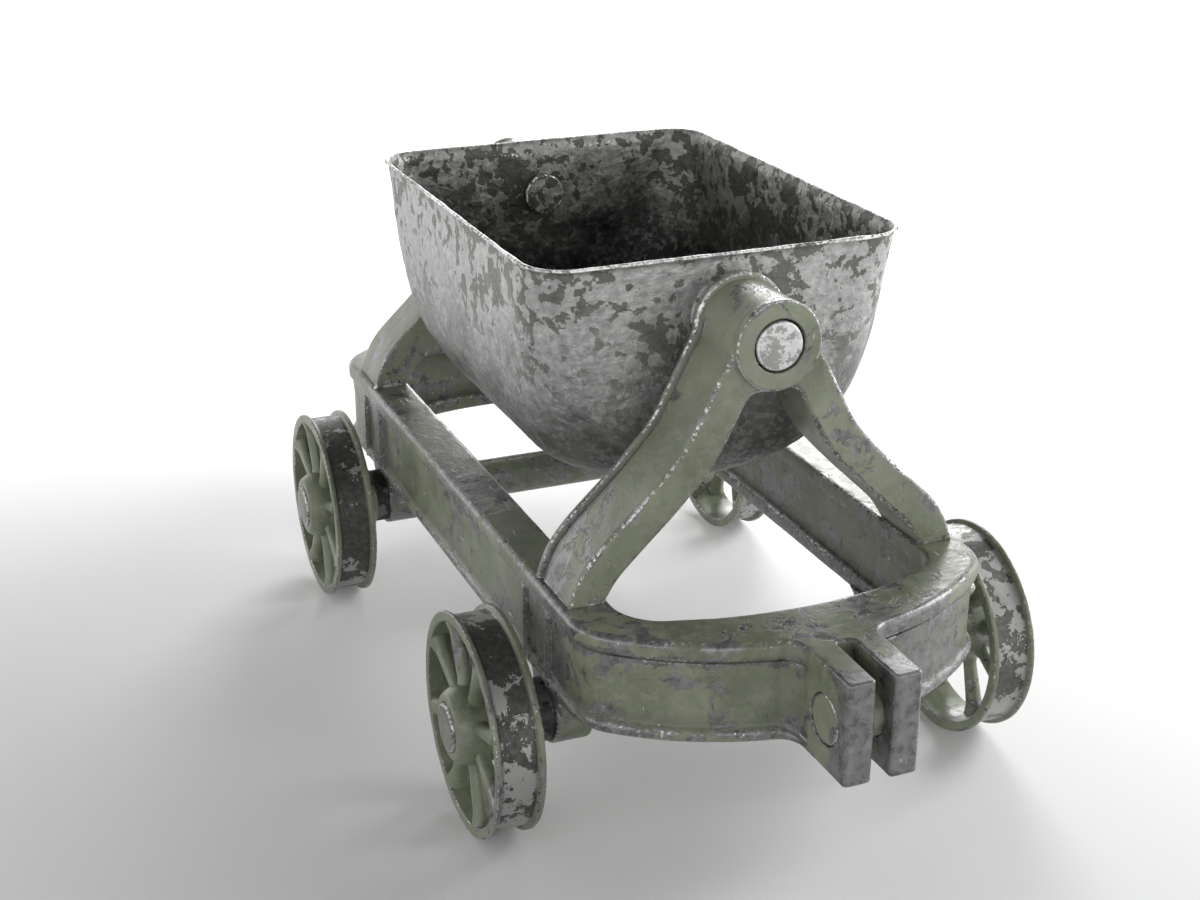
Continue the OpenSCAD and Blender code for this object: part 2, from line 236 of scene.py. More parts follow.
def cap_between(mesh, outer, inner):
    """Fills the flat region between an outer and an inner ring, a quarter at a time."""
    def corner(ring, k):
        return (set(ring[k].verts) & set(ring[(k + 1) % len(ring)].verts)).pop()

    steps_out, steps_in = len(outer) // 4, len(inner) // 4
    ties = [mesh.edges.new((corner(outer, k * steps_out), corner(inner, k * steps_in)))
            for k in range(4)]
    for k in range(4):
        after = (k + 1) % 4
        run = [outer[(k * steps_out + 1 + i) % len(outer)] for i in range(steps_out)]
        run += [inner[(k * steps_in + 1 + i) % len(inner)] for i in range(steps_in)]
        bmesh.ops.contextual_create(mesh, geom=run + [ties[k], ties[after]])


def spin_profile(mesh, profile, centre, axis, steps):
    """Turns a profile of (radius, distance along the axis) into a solid of revolution."""
    axis = Vector(axis)
    side = axis.orthogonal().normalized()
    centre = Vector(centre)
    verts = [mesh.verts.new(centre + side * r + axis * d) for r, d in profile]
    on_axis = profile[0][0] == 0 and profile[-1][0] == 0
    first = 1 if on_axis else 0
    edges = [mesh.edges.new((verts[i - 1], verts[i])) for i in range(first, len(verts))]
    bmesh.ops.spin(
        mesh, geom=verts + edges, cent=centre, axis=axis, angle=math.tau, steps=steps,
        use_merge=True, use_duplicate=False,
    )
    return verts


def supported(profile, closed=True, margin=1.6 * MM):
    """The profile with extra points close to the ends of its long straight parts."""
    made = []
    count = len(profile) if closed else len(profile) - 1
    for i in range(count):
        here, after = Vector(profile[i]), Vector(profile[(i + 1) % len(profile)])
        made.append(tuple(here))
        run = after - here
        if run.length > 4 * margin:
            made.append(tuple(here + run.normalized() * margin))
            made.append(tuple(after - run.normalized() * margin))
    if not closed:
        made.append(tuple(profile[-1]))
    return made


def rounded(profile, radii, steps=4):
    """A closed profile with each corner rounded by its own radius."""
    made = []
    count = len(profile)
    for i, corner in enumerate(profile):
        here = Vector(corner)
        before = (Vector(profile[i - 1]) - here)
        after = (Vector(profile[(i + 1) % count]) - here)
        reach = min(radii[i], before.length / 2, after.length / 2)
        if reach < 1e-6:
            made.append(tuple(here))
            continue
        start = here + before.normalized() * reach
        end = here + after.normalized() * reach
        for s in range(steps + 1):
            t = s / steps
            made.append(tuple(start * (1 - t) ** 2 + here * 2 * t * (1 - t) + end * t * t))
    return supported(made, profile[0][0] != 0)


def close_up(mesh):
    """Merges doubled vertices and turns every face outwards."""
    bmesh.ops.remove_doubles(mesh, verts=mesh.verts, dist=merge_gap)
    bmesh.ops.recalc_face_normals(mesh, faces=mesh.faces)


def roughen(mesh, depth, size, seed, keep=None):
    """Pushes the surface inwards by up to depth, as a casting or a beaten sheet is uneven."""
    mesh.normal_update()
    moves = []
    for vert in mesh.verts:
        value = noise.fractal(vert.co / size + Vector((seed, 0, 0)), 1.0, 2.0, 3)
        amount = min(max(0.5 + value * 0.7, 0), 1) * depth
        if keep:
            amount *= keep(vert.co)
        moves.append(vert.normal * -amount)
    for vert, move in zip(mesh.verts, moves):
        vert.co += move


def mark_edges(mesh):
    """Stores how sharply the surface turns outwards or inwards at each vertex."""
    ridge = mesh.verts.layers.float.new("ridge")
    hollow = mesh.verts.layers.float.new("hollow")
    for vert in mesh.verts:
        turns = [edge.calc_face_angle_signed(0) for edge in vert.link_edges if edge.is_manifold]
        vert[ridge] = min(max(max(turns, default=0) / 0.4, 0), 1)
        vert[hollow] = min(max(-min(turns, default=0) / 0.6, 0), 1)


def add_object(name, data):
    """Puts data into the scene under a name."""
    made = bpy.data.objects.new(name, data)
    bpy.context.scene.collection.objects.link(made)
    return made


def as_object(name, mesh):
    """A new object in the scene that holds the mesh, smooth with sharp creases kept."""
    data = bpy.data.meshes.new(name)
    mesh.to_mesh(data)
    mesh.free()
    made = add_object(name, data)
    data.shade_smooth()
    data.set_sharp_from_angle(angle=math.radians(crease_angle))
    return made


def cut(mesh, cutter):
    """The mesh with the cutter's solid taken away."""
    whole = as_object("whole", mesh)
    tool = as_object("tool", cutter)
    step = whole.modifiers.new("cut", "BOOLEAN")
    step.operation = "DIFFERENCE"
    step.solver = "EXACT"
    step.object = tool
    bpy.context.view_layer.update()
    result = whole.evaluated_get(bpy.context.evaluated_depsgraph_get()).to_mesh()
    left = bmesh.new()
    left.from_mesh(result)
    for old in (whole, tool):
        data = old.data
        bpy.data.objects.remove(old)
        bpy.data.meshes.remove(data)
    return left


def finish_piece(name, mesh, body, nodes, materials):
    """Makes the object, gives it its finish, and puts it on its body in place of CAD nodes."""
    if "ridge" not in mesh.verts.layers.float:
        mark_edges(mesh)
    made = as_object(name, mesh)
    for material in materials:
        made.data.materials.append(material)
    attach(made, body)
    if nodes:
        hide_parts(*nodes)
    return made


# ------------------------------------------------------------------ shader nodes
def fill(tree, made, inputs):
    """Links each named input of a node to a socket, or sets it to a value."""
    for key, value in inputs.items():
        if isinstance(value, bpy.types.NodeSocket):
            tree.links.new(value, made.inputs[key])
        else:
            made.inputs[key].default_value = value


def node(tree, kind, inputs=None, **settings):
    """Adds a node, sets its properties, and fills or links its inputs."""
    made = tree.nodes.new(kind)
    for key, value in settings.items():
        setattr(made, key, value)
    fill(tree, made, inputs or {})
    return made


def arithmetic(operation):
    """A function that does one operation on values or sockets."""
    def step(tree, a, b=0.0, clamp=False):
        made = node(tree, "ShaderNodeMath", {0: a, 1: b}, operation=operation, use_clamp=clamp)
        return made.outputs[0]

    return step


times, plus, minus, most, absolute = (
    arithmetic(kind) for kind in ("MULTIPLY", "ADD", "SUBTRACT", "MAXIMUM", "ABSOLUTE"))


def noise_at(tree, vector, scale, detail=4.0, rough=0.6, distortion=0.0):
    """Value of a fractal noise."""
    made = node(
        tree, "ShaderNodeTexNoise",
        {"Vector": vector, "Scale": scale, "Detail": detail, "Roughness": rough,
         "Distortion": distortion},
    )
    return made.outputs["Fac"]


def ramp(tree, value, low, high, smooth=True):
    """A value stretched so that low becomes 0 and high becomes 1."""
    made = node(
        tree, "ShaderNodeMapRange", {"Value": value, "From Min": low, "From Max": high},
        interpolation_type="SMOOTHSTEP" if smooth else "LINEAR",
    )
    return made.outputs["Result"]


def blend(tree, share, a, b):
    """Colour a where share is 0 and colour b where it is 1."""
    made = node(tree, "ShaderNodeMix", {0: share, 6: a, 7: b}, data_type="RGBA")
    return made.outputs[2]


def group_tree(name, inputs, outputs):
    """An empty node group with named inputs and outputs."""
    tree = bpy.data.node_groups.new(name, "ShaderNodeTree")
    for label, kind, value in inputs:
        socket = tree.interface.new_socket(label, in_out="INPUT", socket_type=kind)
        if value is not None:
            socket.default_value = value
    for label, kind in outputs:
        tree.interface.new_socket(label, in_out="OUTPUT", socket_type=kind)
    source = tree.nodes.new("NodeGroupInput").outputs
    target = tree.nodes.new("NodeGroupOutput").inputs
    return tree, source, target


FLOAT, VECTOR = "NodeSocketFloat", "NodeSocketVector"


def make_chipping():
    """Islands where the top coat has come off, more of them along ridges."""
    tree, source, target = group_tree(
        "Chipping",
        [("Vector", VECTOR, None), ("Scale", FLOAT, 14.0), ("Share", FLOAT, 0.3),
         ("Ridge", FLOAT, 0.0)],
        [("Bare", FLOAT), ("Step", FLOAT)],
    )
    broad = noise_at(tree, source["Vector"], times(tree, source["Scale"], 0.28), 2.0)
    fine = noise_at(tree, source["Vector"], times(tree, source["Scale"], 1.9), 6.0, 0.66, 0.5)
    mixed = plus(tree, times(tree, broad, 0.55), times(tree, fine, 0.6))
    raised = plus(tree, mixed, times(tree, source["Ridge"], 0.1))
    level = minus(tree, 0.76, times(tree, source["Share"], 0.36))
    over = minus(tree, raised, level)
    tree.links.new(ramp(tree, over, -0.004, 0.006), target["Bare"])
    tree.links.new(ramp(tree, over, -0.022, 0.012), target["Step"])
    return tree


def make_edge_wear_and_highlight():
    """Bright broken lines where ridges are rubbed down to the metal, lightened further into a
    painted highlight.
    """
    tree, source, target = group_tree(
        "Edge wear and highlight",
        [("Vector", VECTOR, None), ("Ridge", FLOAT, 0.0), ("Amount", FLOAT, 0.5)],
        [("Wear and highlight", FLOAT)],
    )
    broad = noise_at(tree, source["Vector"], 16.0, 3.0)
    fine = noise_at(tree, source["Vector"], 230.0, 5.0, 0.7)
    rubbed = times(tree, source["Ridge"], plus(tree, broad, 0.1))
    broken = times(tree, minus(tree, fine, 0.5), 1.7)
    total = plus(tree, plus(tree, rubbed, broken), source["Amount"])
    tree.links.new(ramp(tree, total, 1.0, 1.16), target["Wear and highlight"])
    return tree


def make_scratches():
    """Thin scratches in two directions, in scattered places."""
    tree, source, target = group_tree(
        "Scratches",
        [("Vector", VECTOR, None), ("Amount", FLOAT, 0.5)],
        [("Scratch", FLOAT)],
    )
    found = None
    for turn, seed in ((0.5, 3.0), (-0.9, 11.0)):
        mapped = node(
            tree, "ShaderNodeMapping",
            {"Vector": source["Vector"], "Location": (seed, seed, seed),
             "Rotation": (turn, turn * 1.7, turn * 0.6), "Scale": (260.0, 22.0, 60.0)},
        ).outputs["Vector"]
        strand = noise_at(tree, mapped, 1.0, 2.0, 0.5, 0.4)
        found = strand if found is None else most(tree, found, strand)
    where = noise_at(tree, source["Vector"], 21.0, 2.0)
    placed = plus(tree, found, times(tree, where, 0.45))
    level = minus(tree, 1.06, times(tree, source["Amount"], 0.12))
    over = minus(tree, placed, level)
    tree.links.new(ramp(tree, over, 0.0, 0.03), target["Scratch"])
    return tree


def make_mottle():
    """Cloudy variation at a broad and a fine scale, around one half."""
    tree, source, target = group_tree(
        "Mottle",
        [("Vector", VECTOR, None), ("Scale", FLOAT, 10.0)],
        [("Broad", FLOAT), ("Fine", FLOAT)],
    )
    broad = noise_at(tree, source["Vector"], source["Scale"], 4.0, 0.6, 0.5)
    fine = noise_at(tree, source["Vector"], times(tree, source["Scale"], 9.0), 5.0, 0.7, 0.3)
    tree.links.new(ramp(tree, broad, 0.3, 0.7), target["Broad"])
    tree.links.new(ramp(tree, fine, 0.25, 0.75), target["Fine"])
    return tree


def make_blotches():
    """Rounded dark spots and islands with crisp edges, gathered in clusters."""
    tree, source, target = group_tree(
        "Blotches",
        [("Vector", VECTOR, None), ("Scale", FLOAT, 30.0), ("Share", FLOAT, 0.4),
         ("Roughness", FLOAT, 0.5)],
        [("Spot", FLOAT)],
    )
    cluster = noise_at(tree, source["Vector"], times(tree, source["Scale"], 0.22), 2.0, 0.5)
    spots = noise_at(tree, source["Vector"], source["Scale"], 4.0, source["Roughness"], 0.15)
    mixed = plus(tree, times(tree, cluster, 0.4), times(tree, spots, 0.8))
    level = minus(tree, 0.76, times(tree, source["Share"], 0.32))
    over = minus(tree, mixed, level)
    tree.links.new(ramp(tree, over, -0.008, 0.012), target["Spot"])
    return tree


chipping = make_chipping()
blotches = make_blotches()
edge_wear_and_highlight = make_edge_wear_and_highlight()
scratches = make_scratches()
mottle = make_mottle()


def grouped(tree, group, vector, **inputs):
    """Places one of the shared groups and gives its outputs."""
    made = node(tree, "ShaderNodeGroup", node_tree=group)
    fill(tree, made, {"Vector": vector, **inputs})
    return made.outputs


def new_material(name):
    """A material with its object coordinates, its ridge and hollow values and its shader."""
    material = bpy.data.materials.new(name)
    material.use_nodes = True
    tree = material.node_tree
    shader = tree.nodes["Principled BSDF"]
    vector = node(tree, "ShaderNodeTexCoord").outputs["Object"]
    ridge = node(tree, "ShaderNodeAttribute", attribute_name="ridge").outputs["Fac"]
    hollow = node(tree, "ShaderNodeAttribute", attribute_name="hollow").outputs["Fac"]
    return material, tree, shader, vector, ridge, hollow


def bump(tree, height, distance, below=None):
    """Normal bent by a height, on top of an earlier normal."""
    inputs = {"Height": height, "Distance": distance, "Strength": 1.0}
    if below is not None:
        inputs["Normal"] = below
    return node(tree, "ShaderNodeBump", inputs).outputs["Normal"]


bare_dark = (0.085, 0.084, 0.084, 1)
bare_light = (0.25, 0.246, 0.25, 1)
faded_paint = (0.205, 0.212, 0.172, 1)
# Near-black colour laid into the creases and hollows of paint: painted shade.
crease_shade_colour = (0.022, 0.023, 0.018, 1)
# Pale colours for edges and scratches rubbed to metal, lightened further as a painted highlight.
rubbed_metal_and_highlight = (0.62, 0.615, 0.61, 1)
plate_wear_and_highlight = (0.80, 0.79, 0.78, 1)
steel_wear_and_highlight = (0.66, 0.65, 0.65, 1)
# Near-black colour laid into the creases and hollows of bare steel: painted shade.
steel_crease_shade = (0.02, 0.02, 0.018, 1)
ends_reach = 0.05


def worn_paint(name, dark, light, share, scale, wear_and_highlight_amount=0.45, worn_ends=0.0):
    """Old paint on a casting: clouded, chipped to grey metal, rubbed bright along its edges, with
    a painted highlight there.
    """
    material, tree, shader, vector, ridge, hollow = new_material(name)
    clouds = grouped(tree, mottle, vector, Scale=7.0)
    worn = ridge
    if worn_ends:
        reach = node(tree, "ShaderNodeSeparateXYZ", {0: vector}).outputs["Y"]
        ends_only = ramp(tree, absolute(tree, reach), frame_high.y - ends_reach, frame_high.y)
        worn = plus(tree, ridge, times(tree, ends_only, worn_ends))
    chips = grouped(tree, chipping, vector, Scale=scale, Share=share, Ridge=worn)
    wear_and_highlight = grouped(tree, edge_wear_and_highlight, vector, Ridge=ridge, Amount=wear_and_highlight_amount)
    lines = grouped(tree, scratches, vector, Amount=0.5)
    shade = plus(tree, times(tree, clouds["Broad"], 0.65), times(tree, clouds["Fine"], 0.35))
    paint = blend(tree, shade, dark, light)
    bare = blend(tree, clouds["Fine"], bare_dark, bare_light)
    faded = grouped(tree, blotches, vector, Scale=70.0, Share=0.38, Roughness=0.68)
    paint = blend(tree, times(tree, faded["Spot"], 0.38), paint, faded_paint)
    coat = blend(tree, chips["Bare"], paint, bare)
    # Painted shade: creases and hollows darkened towards near black.
    crease_shade = times(tree, hollow, 0.65, clamp=True)
    coat = blend(tree, crease_shade, coat, crease_shade_colour)
    # Worn edges and scratches turned towards pale metal, partly a painted highlight.
    bright = most(tree, wear_and_highlight["Wear and highlight"], times(tree, lines["Scratch"], 0.8))
    coat = blend(tree, times(tree, bright, 0.85), coat, rubbed_metal_and_highlight)
    metal = most(tree, times(tree, chips["Bare"], 0.55), times(tree, bright, 0.8))
    rough = minus(tree, plus(tree, 0.27, times(tree, clouds["Fine"], 0.2)),
                  times(tree, chips["Bare"], 0.05))
    lumps = bump(tree, noise_at(tree, vector, 26.0, 3.0, 0.5), 0.0016)
    grain = bump(tree, noise_at(tree, vector, 170.0, 5.0, 0.62), 0.0006, lumps)
    flakes = bump(tree, minus(tree, 1.0, chips["Step"]), 0.0005, grain)
    nicks = bump(tree, minus(tree, 1.0, bright), 0.0005, flakes)
    fill(tree, shader,
         {"Base Color": coat, "Metallic": metal, "Roughness": rough, "Normal": nicks})
    return material


def bucket_plate(name, pale_low, pale_high, spot_low, spot_high, spot_share, deep, deep_share,
                 deep_from, deep_to):
    """Beaten plate: worn pale metal with dark scale in spots, and darker towards the bottom."""
    material, tree, shader, vector, ridge, _ = new_material(name)
    height = node(tree, "ShaderNodeSeparateXYZ", {0: vector}).outputs["Z"]
    clouds = grouped(tree, mottle, vector, Scale=11.0)
    drift = times(tree, minus(tree, clouds["Broad"], 0.5), 0.10)
    low = ramp(tree, plus(tree, height, drift), deep_from, deep_to)
    small = grouped(tree, blotches, vector, Scale=52.0, Share=spot_share, Roughness=0.55)
    large = grouped(tree, blotches, vector, Scale=21.0, Share=spot_share - 0.04, Roughness=0.62)
    specks = grouped(tree, blotches, vector, Scale=120.0, Share=0.36, Roughness=0.6)
    wear_and_highlight = grouped(tree, edge_wear_and_highlight, vector, Ridge=ridge, Amount=0.5)
    lines = grouped(tree, scratches, vector, Amount=0.3)
    pale = blend(tree, clouds["Fine"], pale_low, pale_high)
    pale = blend(tree, times(tree, clouds["Broad"], 0.4), pale, pale_low)
    scale_colour = blend(tree, clouds["Fine"], spot_low, spot_high)
    upper = ramp(tree, plus(tree, height, drift), axis_z - 0.12, axis_z + 0.02)
    patches = times(tree, most(tree, small["Spot"], large["Spot"]),
                    plus(tree, 0.25, times(tree, upper, 0.75)))
    plate = blend(tree, times(tree, patches, 0.92), pale, scale_colour)
    # Darker towards the bottom; in the copy for the inside faces this is painted shade.
    dark = minus(tree, 1.0, low, clamp=True)
    dark = minus(tree, dark, times(tree, specks["Spot"], 0.28), clamp=True)
    plate = blend(tree, times(tree, dark, deep_share), plate, deep)
    # Worn edges and scratches turned towards pale metal, partly a painted highlight.
    bright = most(tree, wear_and_highlight["Wear and highlight"], times(tree, lines["Scratch"], 0.5))
    plate = blend(tree, bright, plate, plate_wear_and_highlight)
    metal = plus(tree, 0.3, times(tree, minus(tree, 1.0, patches, clamp=True), 0.25))
    rough = plus(tree, 0.36, times(tree, clouds["Fine"], 0.2))
    stretched = node(tree, "ShaderNodeMapping",
                     {"Vector": vector, "Scale": (1.0, 1.0, 1.6), "Rotation": (0.4, 0.3, 0)})
    dents = bump(tree, noise_at(tree, stretched.outputs[0], 46.0, 4.0, 0.5, 0.3), 0.0022)
    pitted = bump(tree, noise_at(tree, vector, 150.0, 5.0, 0.6), 0.0009, dents)
    flakes = bump(tree, minus(tree, 1.0, patches), 0.0004, pitted)
    fill(tree, shader,
         {"Base Color": plate, "Metallic": metal, "Roughness": rough, "Normal": flakes})
    return material


def bare_steel(name, dark, light, pale, patch_scale, patch_share, rough_low=0.35):
    """Bare iron with lighter rubbed patches, and edges rubbed bright with a painted highlight."""
    material, tree, shader, vector, ridge, hollow = new_material(name)
    clouds = grouped(tree, mottle, vector, Scale=16.0)
    patches = grouped(tree, blotches, vector, Scale=patch_scale, Share=patch_share, Roughness=0.72)
    wear_and_highlight = grouped(tree, edge_wear_and_highlight, vector, Ridge=ridge, Amount=0.5)
    lines = grouped(tree, scratches, vector, Amount=0.5)
    metal_colour = blend(tree, clouds["Fine"], dark, light)
    metal_colour = blend(tree, times(tree, patches["Spot"], 0.85), metal_colour, pale)
    # Worn edges and scratches turned towards pale metal, partly a painted highlight.
    bright = most(tree, wear_and_highlight["Wear and highlight"], times(tree, lines["Scratch"], 0.6))
    metal_colour = blend(tree, bright, metal_colour, steel_wear_and_highlight)
    # Painted shade: creases and hollows darkened towards near black.
    metal_colour = blend(tree, times(tree, hollow, 0.5, clamp=True), metal_colour, steel_crease_shade)
    rough = plus(tree, rough_low, times(tree, clouds["Broad"], 0.25))
    lumps = bump(tree, noise_at(tree, vector, 60.0, 4.0, 0.6), 0.0008)
    grain = bump(tree, noise_at(tree, vector, 420.0, 4.0, 0.65), 0.0003, lumps)
    fill(tree, shader,
         {"Base Color": metal_colour, "Metallic": 0.6, "Roughness": rough, "Normal": grain})
    return material


green_dark = (0.090, 0.102, 0.064, 1)
green_light = (0.200, 0.218, 0.152, 1)
frame_paint = worn_paint("frame_paint", green_dark, green_light, 0.40, 15.0, wear_and_highlight_amount=0.40,
                         worn_ends=1.4)
trestle_paint = worn_paint("trestle_paint", (0.105, 0.117, 0.077, 1), (0.215, 0.233, 0.165, 1),
                           0.38, 17.0, wear_and_highlight_amount=0.47)
wheel_paint = worn_paint("wheel_paint", green_dark, (0.20, 0.225, 0.15, 1), 0.25, 24.0, wear_and_highlight_amount=0.42)
pin_paint = worn_paint("pin_paint", (0.13, 0.143, 0.095, 1), (0.225, 0.24, 0.17, 1), 0.5, 30.0)
bucket_finish = bucket_plate(
    "bucket_metal", (0.24, 0.24, 0.238, 1), (0.53, 0.53, 0.525, 1), (0.070, 0.073, 0.060, 1),
    (0.12, 0.124, 0.104, 1), 0.33, (0.045, 0.045, 0.042, 1), 0.88, bucket_low.z + 0.06,
    bucket_high.z - 0.05)
# The inside faces get a much darker copy of the bucket plate, near black towards the bottom:
# painted shade.
shaded_bucket_inside = bucket_plate(
    "shaded_bucket_inside", (0.16, 0.16, 0.150, 1), (0.42, 0.42, 0.40, 1), (0.030, 0.031, 0.025, 1),
    (0.060, 0.062, 0.050, 1), 0.38, (0.004, 0.004, 0.0035, 1), 0.98, bucket_high.z - 0.21,
    bucket_high.z + 0.01)
tread_steel = bare_steel("tread_steel", (0.035, 0.036, 0.032, 1), (0.095, 0.096, 0.088, 1),
                         (0.34, 0.34, 0.33, 1), 30.0, 0.38)
# A lighter copy of the tread steel, used for the right wheels.
lighter_tread = bare_steel("lighter_tread_steel", (0.06, 0.061, 0.056, 1),
                          (0.13, 0.131, 0.12, 1), (0.36, 0.36, 0.35, 1), 30.0, 0.52)
trunnion_steel = bare_steel("trunnion_steel", (0.44, 0.44, 0.44, 1), (0.66, 0.66, 0.66, 1),
                            (0.24, 0.245, 0.225, 1), 75.0, 0.40)
axle_steel = worn_paint("axle_paint", (0.085, 0.094, 0.060, 1), (0.18, 0.20, 0.14, 1), 0.4, 26.0)
dark_steel = bare_steel("dark_steel", (0.018, 0.018, 0.017, 1), (0.05, 0.05, 0.047, 1),
                        (0.16, 0.16, 0.155, 1), 40.0, 0.35, rough_low=0.45)
bronze = bare_steel("bearing_bronze", (0.16, 0.10, 0.045, 1), (0.28, 0.19, 0.09, 1),
                    (0.50, 0.36, 0.18, 1), 40.0, 0.4)


# ------------------------------------------------------------------ frame
def in_quarters(quarter):
    """A closed outline from its quarter between +X and +Y, with a share kept at each point."""
    half = quarter + [(-x, y, w) for x, y, w in reversed(quarter)]
    return without_doubles(half + [(-x, -y, w) for x, y, w in half])


def ring_corner(half_w, reach, round_r, edge_r):
    """Centres and turning angle of one rounded corner between a rail and a round end."""
    crown_y = reach - round_r
    corner_x = half_w - edge_r
    corner_y = crown_y + math.sqrt((round_r - edge_r) ** 2 - corner_x ** 2)
    angle = math.degrees(math.atan2(corner_y - crown_y, corner_x))
    return crown_y, corner_x, corner_y, angle


def frame_outer():
    """Outer outline of the frame with its ears; the share is 1 on the ring, 0 on the ears."""
    crown_y, corner_x, corner_y, corner_angle = ring_corner(
        frame_half_w, crown_y_reach, crown_r, corner_r)
    blend_x = ears_half_w + ear_blend_r
    blend_y = crown_y + math.sqrt((crown_r + ear_blend_r) ** 2 - blend_x ** 2)
    blend_angle = math.degrees(math.atan2(blend_y - crown_y, blend_x))
    ear_end = frame_high.y
    slot_end = ear_end - slot_depth
    ring = line((frame_half_w, 0), (frame_half_w, corner_y), grid_step)
    ring += arc((corner_x, corner_y), corner_r, 0, corner_angle, 12)
    ring += arc((0, crown_y), crown_r, corner_angle, blend_angle, 20)
    points = [(x, y, 1.0) for x, y in ring]
    turn = arc((blend_x, blend_y), ear_blend_r, blend_angle + 180, 180, 9)
    points += [(x, y, 1 - i / 9) for i, (x, y) in enumerate(turn)]
    ear = line((ears_half_w, blend_y), (ears_half_w, ear_end - ear_corner_r), grid_step)
    ear += arc((ears_half_w - ear_corner_r, ear_end - ear_corner_r), ear_corner_r, 0, 90, 5)
    ear += line((ears_half_w - ear_corner_r, ear_end),
                (slot_half_w + ear_corner_r, ear_end), 7 * MM)
    ear += arc((slot_half_w + ear_corner_r, ear_end - ear_corner_r), ear_corner_r, 90, 180, 5)
    ear += line((slot_half_w, ear_end - ear_corner_r), (slot_half_w, slot_end + slot_corner_r),
                grid_step)
    ear += arc((slot_half_w - slot_corner_r, slot_end + slot_corner_r), slot_corner_r, 0, -90, 4)
    ear += [(0, slot_end)]
    points += [(x, y, 0.0) for x, y in ear]
    return in_quarters(without_doubles(points))


def frame_inner():
    """Outline of the well inside the frame."""
    reach = crown_y_reach - crown_w
    crown_y, corner_x, corner_y, corner_angle = ring_corner(
        rail_in, reach, crown_inner_r, inner_corner_r)
    ring = line((rail_in, 0), (rail_in, corner_y), grid_step)
    ring += arc((corner_x, corner_y), inner_corner_r, 0, corner_angle, 14)
    ring += arc((0, crown_y), crown_inner_r, corner_angle, 90, 18)
    return in_quarters([(x, y, 1.0) for x, y in ring])


def quarter_round(radius, low, high, steps):
    """Inset and rise along part of a rounded edge; 0 degrees is its outermost point."""
    turns = [math.radians(low + (high - low) * i / steps) for i in range(steps + 1)]
    return [(radius - radius * math.cos(a), radius * math.sin(a)) for a in turns]


def outer_sections():
    """Inset and height of each line round the ring, and the same for the plain ears."""
    bead_r = 10 * MM
    rim_r = 8 * MM
    ear_r = 4 * MM
    ring = [(bead_r + 3 * MM, 0)]
    ear = [(ear_r + 1 * MM, 0)]
    bead = quarter_round(bead_r, -84, 55, 7)
    ring += [(inset, rise + bead_r) for inset, rise in bead]
    ear += [(inset, rise + ear_r) for inset, rise in quarter_round(ear_r, -84, 0, 7)]
    web = [(web_in - 1 * MM, 20), (web_in, 24), (web_in, 40), (web_in, 56), (web_in, 72),
           (web_in - 1 * MM, 88), (web_in - 1.5 * MM, 97.5), (web_in, 98.6), (web_in, 100.4),
           (2.5 * MM, 101.4), (0.7 * MM, 102.6), (0, 105), (0, 110)]
    ring += [(inset, rise * MM) for inset, rise in web]
    ear += [(0, rise * MM) for inset, rise in web]
    ring += [(inset, rise + frame_h - rim_r) for inset, rise in quarter_round(rim_r, 0, 84, 5)]
    ear += [(inset, rise + frame_h - ear_r) for inset, rise in quarter_round(ear_r, 0, 84, 5)]
    ring += [(rim_r + 2.5 * MM, frame_h)]
    ear += [(ear_r + 1.5 * MM, frame_h)]
    return [(a[0], a[1], b[0], b[1]) for a, b in zip(ring, ear)]


def inner_sections():
    """Inset and height of each line round the well, from the bottom up."""
    edge_r = 5 * MM
    lines = [(edge_r + 3 * MM, 0)]
    lines += [(inset, rise + edge_r) for inset, rise in quarter_round(edge_r, -84, 0, 4)]
    lines += [(0, 17 * MM), (1.5 * MM, 21 * MM), (6 * MM, 24 * MM), (6 * MM, 45 * MM),
              (6 * MM, 70 * MM), (6 * MM, 95 * MM), (4.5 * MM, 100 * MM), (0.5 * MM, 102 * MM),
              (0, 106 * MM)]
    lines += [(inset, rise + frame_h - edge_r) for inset, rise in
              quarter_round(edge_r, 0, 84, 4)]
    lines += [(edge_r + 3 * MM, frame_h)]
    return [(inset, rise, inset, rise) for inset, rise in lines]


def wall_rings(mesh, outline, sections, inward):
    """One ring of edges for each section of a wall, drawn in from the outline."""
    turned = normals(outline)
    rings = []
    for ring_in, ring_z, ear_in, ear_z in sections:
        points = []
        for (x, y, share), side in zip(outline, turned):
            inset = ring_in * share + ear_in * (1 - share)
            rise = ring_z * share + ear_z * (1 - share)
            shift = side * inset * inward
            points.append((x + shift.x, y + shift.y, frame_low_z + rise))
        rings.append(add_ring(mesh, points))
    skin(mesh, rings)
    return rings


def lying_bar(mesh, centre, radius, half_length, axis, steps=48, edge=0.0):
    """A round bar along an axis, with both its ends rounded."""
    profile = rounded(
        [(0, -half_length), (radius, -half_length), (radius, half_length), (0, half_length)],
        [0, edge, edge, 0], 3)
    spin_profile(mesh, profile, centre, axis, steps)


def build_frame():
    """The whole frame: ring, ears, pin holes and bearing brackets."""
    mesh = bmesh.new()
    outer = wall_rings(mesh, frame_outer(), outer_sections(), 1)
    inner = wall_rings(mesh, frame_inner(), inner_sections(), -1)
    cap_between(mesh, outer[0], inner[0])
    cap_between(mesh, outer[-1], inner[-1])
    close_up(mesh)
    cutter = bmesh.new()
    for end in (-1, 1):
        lying_bar(cutter, (0, end * pin_y, pin_z), pin_r + pin_play, 80 * MM, (1, 0, 0), 64)
    close_up(cutter)
    mesh = cut(mesh, cutter)
    for end in (-1, 1):
        for side in (-1, 1):
            add_bracket(mesh, side, end)
    roughen(mesh, 0.7 * MM, 70 * MM, 5.0)
    return mesh


